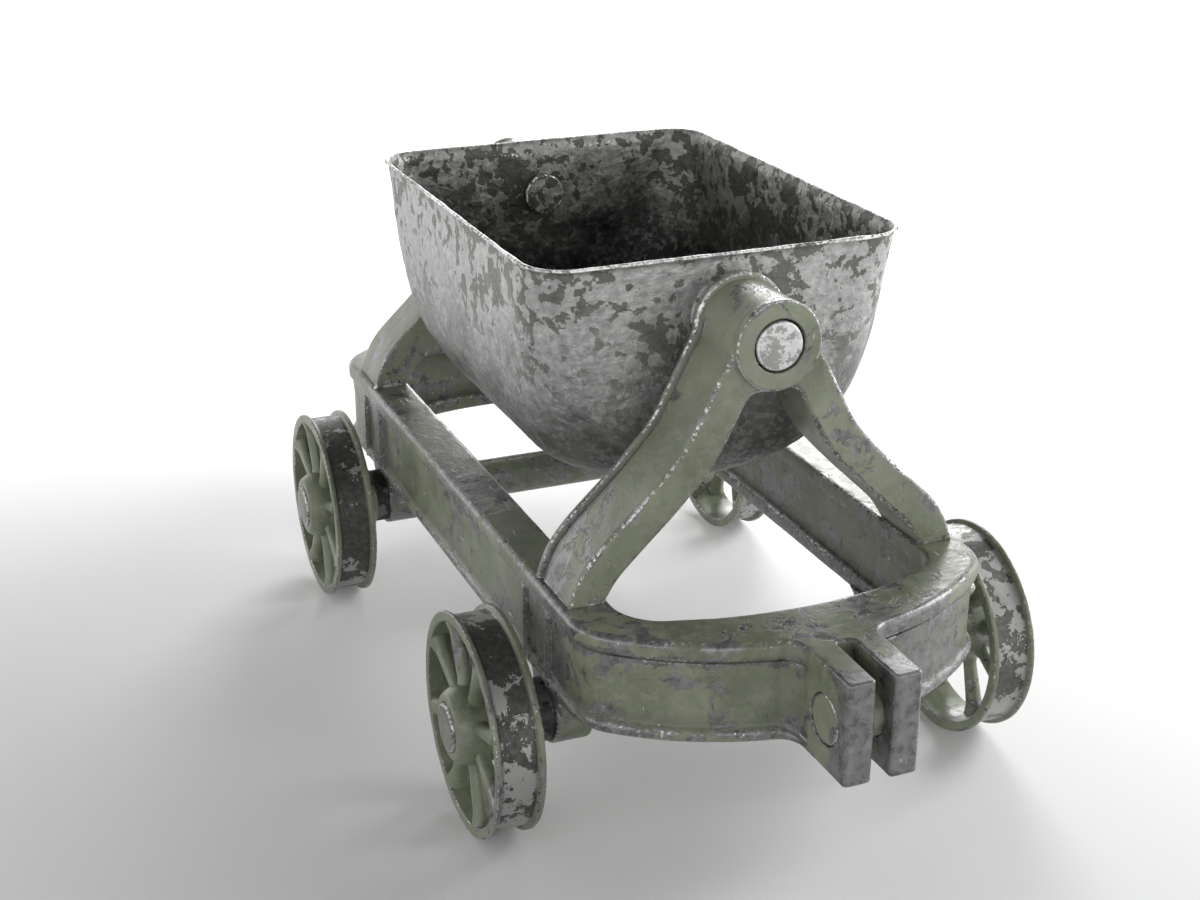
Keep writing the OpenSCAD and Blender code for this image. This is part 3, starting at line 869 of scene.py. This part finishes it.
def add_bracket(mesh, side, end):
    """Bearing bracket: an upright saddle under the rail, its boss and ribs up the web."""
    part = bmesh.new()
    centre = (0, end * axle_y, axle_z)
    top = frame_low_z + 6 * MM
    length = boss_out - rail_in
    levels = [(axle_z, 43), (axle_z + 14 * MM, saddle_half), (axle_z + 28 * MM, 43.5),
              (axle_z + 38 * MM, 47), (axle_z + 45 * MM, 53), (top, 60)]
    rings = []
    for z, half in levels:
        spread = (half - saddle_half) * 0.25 * MM
        plan = rounded(
            [(rail_in - spread, -half * MM), (boss_out + spread, -half * MM),
             (boss_out + spread, half * MM), (rail_in - spread, half * MM)],
            [10 * MM] * 4, 4)
        rings.append(add_ring(part, [(side * x, end * axle_y + y, z) for x, y in plan]))
    skin(part, rings)
    cap(part, rings[0])
    cap(part, rings[-1])
    close_up(part)
    bore = bmesh.new()
    lying_bar(bore, centre, bush_high.z - axle_z + 0.02 * MM, boss_out + 50 * MM, (1, 0, 0), 64)
    close_up(bore)
    part = cut(part, bore)
    boss = rounded(
        [(boss_bore_r, rail_in), (bracket_boss_r, rail_in), (bracket_boss_r, boss_out),
         (boss_bore_r, boss_out)],
        [0.5 * MM, 9 * MM, 4 * MM, 1 * MM], 4)
    spin_profile(part, [(r, side * d) for r, d in boss], centre, (1, 0, 0), 64)
    web_x = frame_half_w - web_in
    for place in (-1, 1):
        y = end * axle_y + place * rib_spread
        rib = []
        for z, r, out in ((frame_low_z + 3 * MM, 13, 0), (frame_low_z + 16 * MM, 11, 0.5),
                          (frame_low_z + 32 * MM, 9, 1.5), (frame_low_z + 70 * MM, 8.5, 1.5),
                          (frame_low_z + 90 * MM, 9.5, 1), (frame_top - 18 * MM, 12, -1)):
            x = web_x - rib_tip_in + out * MM
            circle = arc((x, y), min(r * MM, frame_half_w - 0.5 * MM - x), 0, 360, 20)[:-1]
            rib.append(add_ring(part, [(side * a, b, z) for a, b in circle]))
        skin(part, rib)
        cap(part, rib[0])
        cap(part, rib[-1])
    close_up(part)
    held = bpy.data.meshes.new("bracket")
    part.to_mesh(held)
    part.free()
    mesh.from_mesh(held)
    bpy.data.meshes.remove(held)


finish_piece("cart_frame", build_frame(), "chassis", ["frame"], [frame_paint])


# ------------------------------------------------------------------ trestles
# The middle line of a trestle leg, as shares of the foot spread and the axis height
leg_line = [(1, 0), (0.92, 0.13), (0.77, 0.25), (0.59, 0.39), (0.405, 0.555), (0.3, 0.71),
            (0.225, 0.83), (0.13, 0.985)]


def trestle_outline():
    """Closed outline from one foot over the head to the other and back under the arch."""
    rise = axis_z - frame_top
    middle = smooth_curve([(x * foot_spread, z * rise) for x, z in leg_line], 6)
    outer, inner = [], []
    for i, point in enumerate(middle):
        ahead = (middle[min(i + 1, len(middle) - 1)] - middle[max(i - 1, 0)]).normalized()
        across = Vector((ahead.y, -ahead.x))
        outer.append(point + across * (leg_t / 2 + flange_out))
        inner.append(point - across * (leg_t / 2))
    axis = Vector((0, rise))
    outer = [Vector((foot_spread + leg_t / 2 + flange_out, 0))] + [
        p for p in outer[1:] if (p - axis).length > head_r + 1 * MM and p.y > 1 * MM]
    inner = [Vector((foot_spread - leg_t / 2, 0))] + [
        p for p in inner[1:] if (p - axis).length > web_r + 3 * MM and p.y > 1 * MM and p.x > 0]
    joint = outer[-1] - axis
    head = arc(axis, head_r, math.degrees(math.atan2(joint.y, joint.x)), 90, 14)
    joint = inner[-1] - axis
    low_angle = math.degrees(math.atan2(joint.y, joint.x))
    arch = arc(axis, web_r, low_angle, -90, 8)
    outer = evenly([tuple(p) for p in outer] + head, 6 * MM)
    inner = evenly([tuple(p) for p in inner] + arch, 6 * MM)
    for run in (outer, inner):
        for _ in range(6):
            for i in range(1, len(run) - 1):
                mean = Vector(run[i - 1]).lerp(Vector(run[i + 1]), 0.5)
                run[i] = tuple(Vector(run[i]).lerp(mean, 0.5))
    foot = line(inner[0], outer[0], 7 * MM)[1:]

    def share(x, z):
        near = (head_fade - (Vector((x, z)) - axis).length) / (14 * MM)
        return 1 + 0.5 * min(max(near, 0), 1)

    right = [(x, z, share(x, z)) for x, z in outer]
    right += [(-x, z, w) for x, z, w in reversed(right[:-1])]
    left_foot = [(-x, z, 0.5) for x, z in reversed(foot)]
    under = [(-x, z, 0.0) for x, z in inner] + [(x, z, 0.0) for x, z in reversed(inner[:-1])]
    return right + left_foot + under + [(x, z, 0.5) for x, z in foot]


def trestle_sections():
    """Inset and depth of each line, on the flanged outer side and on the plain inner side."""
    depth = legs_depth
    outer = [(5, 0), (3, 0.1), (1.2, 0.6), (0.3, 1.6), (0, 3), (0, 5), (0.4, 6.6), (1.6, 7.6),
             (5.5, 8.2), (7.2, 9.4), (7.2, 11.4), (5.6, 12.8), (flange_step, 16),
             (flange_step, 36), (flange_step, 62), (flange_step, 88)]
    inner = [(a if d <= 5 else 0, d) for a, d in outer]
    edge_r = 5 * MM
    outer = [(a * MM, d * MM) for a, d in outer]
    inner = [(a * MM, d * MM) for a, d in inner]
    turn = quarter_round(edge_r, 0, 84, 4)
    outer += [(flange_step * MM + a, depth - edge_r + d) for a, d in turn]
    inner += [(a, depth - edge_r + d) for a, d in turn]
    outer += [(flange_step * MM + edge_r + 1.5 * MM, depth)]
    inner += [(edge_r + 1.5 * MM, depth)]
    return [(a[0], a[1], b[0], b[1]) for a, b in zip(outer, inner)]


def build_trestle(end):
    """One A-shaped trestle with its flange and barrel."""
    mesh = bmesh.new()
    outline = trestle_outline()
    turned = normals(outline)
    rings = []
    for out_in, out_d, in_in, in_d in trestle_sections():
        points = []
        for (x, z, share), side in zip(outline, turned):
            inset = out_in * share + in_in * (1 - share)
            depth = out_d * share + in_d * (1 - share)
            shift = side * inset
            if z < 0.5 * MM:
                lean = 0 if share == 0.5 else (1 if share == 0 else -1)
                shift = Vector((math.copysign(inset, x) * lean, 0))
            points.append((x + shift.x, end * (legs_back + depth), frame_top + z + shift.y))
        rings.append(add_ring(mesh, points))
    skin(mesh, rings)
    cap(mesh, rings[0])
    cap(mesh, rings[-1])
    close_up(mesh)
    cutter = bmesh.new()
    lying_bar(cutter, (0, end * (legs_back + legs_depth / 2), axis_z), barrel_room_r, 70 * MM,
              (0, 1, 0), 64)
    close_up(cutter)
    mesh = cut(mesh, cutter)
    bore = trunnion_r + 2.6 * MM
    face = legs_back + legs_depth + boss_proud
    barrel = [(trunnion_r + 0.3 * MM, legs_back), (boss_r - 1.5 * MM, legs_back),
              (boss_r - 1.5 * MM, face - 15 * MM), (boss_r, face - 10 * MM), (boss_r, face),
              (bore, face), (bore, face - 12 * MM), (trunnion_r + 0.3 * MM, face - 16 * MM)]
    radii = [0, 1 * MM, 4 * MM, 4 * MM, 3 * MM, 1 * MM, 1 * MM, 1 * MM]
    spin_profile(mesh, [(r, end * d) for r, d in rounded(barrel, radii, 4)], (0, 0, axis_z),
                 (0, 1, 0), 72)
    close_up(mesh)
    roughen(mesh, 0.6 * MM, 60 * MM, 9.0 + end, lambda co: 0 if co.z < frame_top + 1 * MM else 1)
    return mesh


for end, name in ((-1, "front"), (1, "rear")):
    finish_piece(f"{name}_trestle_casting", build_trestle(end), "chassis", [f"{name}_trestle"],
                 [trestle_paint])


# ------------------------------------------------------------------ bucket
def plate_outline(half_w, half_l, radius, count):
    """Rounded rectangle with the same number of points however small it is."""
    radius = min(radius, half_w - 1 * MM, half_l - 1 * MM)
    quarter = count // 4
    straight_w = half_w - radius
    straight_l = half_l - radius
    on_w = max(2, round(quarter * 0.30))
    on_l = max(2, round(quarter * 0.40))
    on_arc = quarter - on_w - on_l
    points = [(half_w, straight_l * i / on_l) for i in range(on_l)]
    points += arc((straight_w, straight_l), radius, 0, 90, on_arc)[:-1]
    points += [(straight_w * (1 - i / on_w), half_l) for i in range(on_w)]
    half = points + [(-x, y) for x, y in [(0, half_l)] + points[:0:-1]]
    return half + [(-x, -y) for x, y in half]


def belly(share, power):
    """How much of its width the bucket keeps at a share of its depth."""
    return max(1 - share ** power, 0) ** 0.45


def bucket_level(inset, share, depth, low_w, low_l):
    """Outline and height of the bucket's wall at a share of its depth."""
    half_w = max((wall_half_w - inset) * belly(share, side_power), low_w)
    half_l = max((wall_half_l - inset) * belly(share, end_power), low_l)
    radius = mouth_r - inset + (belly_r - mouth_r) * share
    z = bucket_high.z - lip_t - depth * share
    return [(x, y, z) for x, y in plate_outline(half_w, half_l, radius, wall_points)]


def build_bucket():
    """The beaten shell with its lip and the pads round its trunnions."""
    mesh = bmesh.new()
    depth = bucket_high.z - bucket_low.z - lip_t
    shares = [math.sin(math.pi / 2 * i / wall_levels) for i in range(2, wall_levels + 1)]
    outside, inside = (
        [add_ring(mesh, bucket_level(inset, s, depth - inset, floor_half_w, floor_half_l))
         for s in shares] for inset in (0, wall_t))
    top = bucket_high.z
    lip = []
    for out, down in ((0, 15), (0.2, 11), (1.1, 7.8), (3.4, 5.9), (5.4, 4.7), (6, 3.4),
                      (5.5, 1.5), (4.1, 0.4), (2.4, 0), (0.6, 0.5), (-1.2, 2), (-3.2, 4.6),
                      (-5, 8), (-6.4, 12), (-7.1, 18)):
        out = min(out, lip_out / MM)
        ring = plate_outline(wall_half_w + out * MM, wall_half_l + out * MM,
                             mouth_r + out * MM, wall_points)
        lip.append(add_ring(mesh, [(x, y, top - down * MM) for x, y in ring]))
    skin(mesh, list(reversed(outside)) + lip + inside)
    cap(mesh, outside[-1])
    cap(mesh, inside[-1])
    close_up(mesh)

    def beaten(co):
        if abs(co.z - axis_z) < calm_reach and abs(co.x) < calm_reach:
            return 0.2
        return 1.0

    roughen(mesh, 1.6 * MM, 55 * MM, 21.0, beaten)
    wall_y = wall_half_l * belly((bucket_high.z - lip_t - axis_z) / depth, end_power)
    pad_face = washer_low.y - pad_play
    for end in (-1, 1):
        pad = [(20 * MM, wall_y - 4 * MM), (pad_r + 3 * MM, wall_y - 4 * MM),
               (pad_r + 2.5 * MM, wall_y + 0.5 * MM), (pad_r + 1 * MM, wall_y + 2 * MM),
               (pad_r, wall_y + 6 * MM), (pad_r, pad_face), (20 * MM, pad_face)]
        spin_profile(mesh, [(r, end * d) for r, d in
                            rounded(pad, [0, 0, 1 * MM, 2 * MM, 2 * MM, 2 * MM, 0], 3)],
                     (0, 0, axis_z), (0, 1, 0), 64)
    bmesh.ops.recalc_face_normals(mesh, faces=mesh.faces)
    # Faces on the inside of the mouth take the second material, the darker painted-shade copy.
    for face in mesh.faces:
        middle = face.calc_center_median()
        hollow_side = face.normal.dot(Vector((middle.x, middle.y, middle.z - axis_z))) < 0
        in_mouth = middle.z < top - 2 * MM and abs(middle.y) < wall_half_l
        face.material_index = 1 if hollow_side and in_mouth else 0
    mark_edges(mesh)
    # Only the lip keeps its rubbed edges and their painted highlight.
    ridge = mesh.verts.layers.float["ridge"]
    for vert in mesh.verts:
        if vert.co.z < top - lip_wear_and_highlight_depth:
            vert[ridge] = 0
    return mesh


finish_piece("bucket_shell", build_bucket(), "tipping_bucket", ["bucket"],
             [bucket_finish, shaded_bucket_inside])


# ------------------------------------------------------------------ shafts and pins
def build_bar(low, high, axis, edge, dome):
    """A turned bar filling a node's box, with worn edges and slightly domed ends."""
    mesh = bmesh.new()
    centre = (low + high) / 2
    half = (high - low).dot(axis) / 2
    radius = (high.z - low.z) / 2
    side = [(0, half), (radius * 0.5, half - dome * 0.25), (radius - edge, half - dome),
            (radius - edge * 0.3, half - dome - edge * 0.4), (radius, half - dome - edge)]
    steps = 12
    length = half - dome - edge - 2 * MM
    shaft = [(radius, length * (1 - 2 * i / steps)) for i in range(steps + 1)]
    profile = side + shaft + [(r, -d) for r, d in reversed(side)]
    spin_profile(mesh, supported(profile, False), centre, axis, 64)
    close_up(mesh)
    roughen(mesh, 0.35 * MM, 20 * MM, 3.0)
    return mesh


across_track = Vector((1, 0, 0))
along_track = Vector((0, 1, 0))
for end in ("front", "rear"):
    low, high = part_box(f"{end}_trunnion")
    bar = build_bar(low, high, along_track, 2.2 * MM, 0.8 * MM)
    # Faces inside the bucket take the darker painted-shade copy of the plate.
    for face in bar.faces:
        inside = abs(face.calc_center_median().y) < wall_half_l - wall_t
        face.material_index = 1 if inside else 0
    finish_piece(f"{end}_trunnion_bar", bar, "tipping_bucket", [f"{end}_trunnion"],
                 [trunnion_steel, shaded_bucket_inside])
    low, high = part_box(f"{end}_coupling_pin")
    finish_piece(f"{end}_drawbar_pin", build_bar(low, high, across_track, 2 * MM, 0.5 * MM),
                 f"{end}_drawpin", [f"{end}_coupling_pin"], [pin_paint])
    low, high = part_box(f"{end}_axle")
    finish_piece(f"{end}_axle_shaft", build_bar(low, high, across_track, 2.4 * MM, 1 * MM),
                 f"{end}_wheelset", [f"{end}_axle"], [axle_steel])


# ------------------------------------------------------------------ wheels
def add_spoke(mesh, angle):
    """One spoke, thin at the hub, wider and flared where it meets the rim."""
    start = 40 * MM
    end = rim_hole_r + 2 * MM
    turn = Matrix.Rotation(math.radians(angle), 3, "X")
    rings = []
    steps = 12
    for i in range(steps + 1):
        share = i / steps
        along = start + (end - start) * share
        wide = 7.5 + 4 * share + 5 * max(0, share - 0.78) / 0.22 + 5 * max(0, 0.18 - share) / 0.18
        deep = 8.5 + 3 * share + 4 * max(0, share - 0.82) / 0.18 + 3 * max(0, 0.16 - share) / 0.16
        points = []
        for k in range(20):
            a = math.tau * k / 20
            across = math.copysign(abs(math.cos(a)) ** 0.85, math.cos(a)) * wide * MM
            depth = math.copysign(abs(math.sin(a)) ** 1.15, math.sin(a)) * deep * MM
            points.append(turn @ Vector((spoke_depth - depth * 0.92, across, along)))
        rings.append(add_ring(mesh, points))
    skin(mesh, rings)
    cap(mesh, rings[0])
    cap(mesh, rings[-1])


def build_wheel(side, end):
    """A wheel with its outer face at X = 0 and its body towards +X, then set in its place."""
    mesh = bmesh.new()
    rim = [(rim_hole_r, 0), (lip_r, 0), (lip_r, 5.5 * MM), (tread_r, 8.5 * MM),
           (tread_r, wheel_w - 10 * MM), (lip_r, wheel_w - 7 * MM), (lip_r, wheel_w),
           (rim_hole_r, wheel_w), (rim_hole_r - 1 * MM, wheel_w * 0.5)]
    radii = [2.2 * MM, 2 * MM, 2 * MM, 1.5 * MM, 1.5 * MM, 2 * MM, 2.2 * MM, 2.5 * MM, 20 * MM]
    spin_profile(mesh, rounded(rim, radii, 4), (0, 0, 0), (1, 0, 0), 120)
    bore = axle_r + 0.4 * MM
    hub = [(bore, -hub_reach), (bore + 3 * MM, -hub_reach), (hub_r - 9 * MM, -hub_reach),
           (hub_r, -hub_reach + 13 * MM), (hub_r, wheel_w * 0.6),
           (hub_r - 5 * MM, wheel_w + hub_inset), (bore, wheel_w + hub_inset)]
    radii = [1.5 * MM, 0, 8 * MM, 9 * MM, 10 * MM, 6 * MM, 1 * MM]
    spin_profile(mesh, rounded(hub, radii, 5), (0, 0, 0), (1, 0, 0), 64)
    close_up(mesh)
    roughen(mesh, 0.45 * MM, 34 * MM, 40.0 + side + 2 * end)
    mark_edges(mesh)
    for i in range(spoke_count):
        add_spoke(mesh, spoke_phase + 90 + i * 360 / spoke_count)
    for face in mesh.faces:
        middle = face.calc_center_median()
        radius = math.hypot(middle.y, middle.z)
        on_tread = 7.5 * MM < middle.x < wheel_w - 9 * MM and radius > tread_r - 2 * MM
        face.material_index = 1 if on_tread else 0
    place = Matrix.Translation((side * wheel_face, end * axle_y, axle_z))
    place = place @ Matrix.Diagonal((-side, 1, 1, 1))
    bmesh.ops.transform(mesh, matrix=place, verts=mesh.verts)
    bmesh.ops.recalc_face_normals(mesh, faces=mesh.faces)
    return mesh


wheel_face = wheel_high.x - hub_reach
for end, end_name in ((-1, "front"), (1, "rear")):
    for side, side_name in ((-1, "left"), (1, "right")):
        finish_piece(f"{end_name}_{side_name}_spoked_wheel", build_wheel(side, end),
                     f"{end_name}_wheelset", [f"{end_name}_{side_name}_wheel"],
                     [wheel_paint, tread_steel if side < 0 else lighter_tread])


# ------------------------------------------------------------------ nodes kept from the CAD
def refinish(names, material):
    """Gives nodes kept from the CAD a material."""
    for name in names:
        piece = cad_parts[name]
        piece.data.materials.clear()
        piece.data.materials.append(material)


ends = ("front", "rear")
sides = ("left", "right")
refinish([f"{end}_trestle_bolts" for end in ends], dark_steel)
refinish([f"{end}_thrust_washer" for end in ends], dark_steel)
# The collars are near-black steel, partly real greasy steel and partly painted shade for the gap
# between boss and wheel.
refinish([f"{end}_{side}_collar" for end in ends for side in sides], dark_steel)
refinish([f"{end}_{side}_bush" for end in ends for side in sides], bronze)


# ------------------------------------------------------------------ floor, light and camera
white = (1, 1, 1, 1)
floor_reach = 30
floor_middle = (-0.6, -1.3, 0)
floor_near = (0.76, 0.76, 0.765, 1)
floor_far = (0.84, 0.84, 0.84, 1)
sky_strength = 2.15
sky_dimming = 1.92


def pale_floor():
    """A floor that glows more with distance, so that it ends in white."""
    mesh = bmesh.new()
    bmesh.ops.create_grid(mesh, x_segments=8, y_segments=8, size=floor_reach)
    data = bpy.data.meshes.new("floor")
    mesh.to_mesh(data)
    mesh.free()
    made = add_object("floor", data)
    material = bpy.data.materials.new("floor_white")
    material.use_nodes = True
    tree = material.node_tree
    shader = tree.nodes["Principled BSDF"]
    vector = node(tree, "ShaderNodeTexCoord").outputs["Object"]
    away = node(tree, "ShaderNodeVectorMath", {0: vector, 1: floor_middle},
                operation="DISTANCE").outputs["Value"]
    # The floor's colour is also darker near a point in front of the cart and paler away from it:
    # painted shade.
    tone = blend(tree, ramp(tree, away, 0.4, 3.0), floor_near, floor_far)
    glow = times(tree, ramp(tree, away, 0.9, 5.0), 0.8)
    fill(tree, shader, {"Base Color": tone, "Roughness": 0.75, "Emission Color": white,
                        "Emission Strength": glow})
    data.materials.append(material)


def studio():
    """White all round near the horizon, dimmer overhead."""
    world = bpy.data.worlds.new("studio")
    world.use_nodes = True
    tree = world.node_tree
    background = tree.nodes["Background"]
    up = node(tree, "ShaderNodeSeparateXYZ",
              {0: node(tree, "ShaderNodeTexCoord").outputs["Generated"]}).outputs["Z"]
    strength = minus(tree, sky_strength, times(tree, ramp(tree, up, 0.34, 0.48), sky_dimming))
    tree.links.new(strength, background.inputs["Strength"])
    background.inputs["Color"].default_value = white
    bpy.context.scene.world = world


def area_light(name, place, target, size, power):
    """A square light aimed at a point."""
    data = bpy.data.lights.new(name, "AREA")
    data.shape = "SQUARE"
    data.size = size
    data.energy = power
    made = add_object(name, data)
    made.location = place
    made.rotation_euler = (Vector(target) - Vector(place)).to_track_quat("-Z", "Y").to_euler()


sensor_mm = 36
lens_mm = 55.52
camera_place = (-0.9059, -2.1354, 1.2333)
camera_down = 0.384
camera_turn = -0.388


def camera():
    """The camera that looks down the cart's left front corner."""
    data = bpy.data.cameras.new("camera")
    data.sensor_width = sensor_mm
    data.lens = lens_mm
    made = add_object("camera", data)
    made.location = camera_place
    made.rotation_euler = (math.pi / 2 - camera_down, 0, camera_turn)
    bpy.context.scene.camera = made


pale_floor()
studio()
area_light("key", (3.0, -0.3, 1.9), (0, 0, 0.3), 1.6, 80)
area_light("rim", (1.9, 3.3, 1.95), (0.1, -0.2, 0.3), 1.7, 95)
camera()
bpy.context.scene.view_settings.view_transform = "Standard"
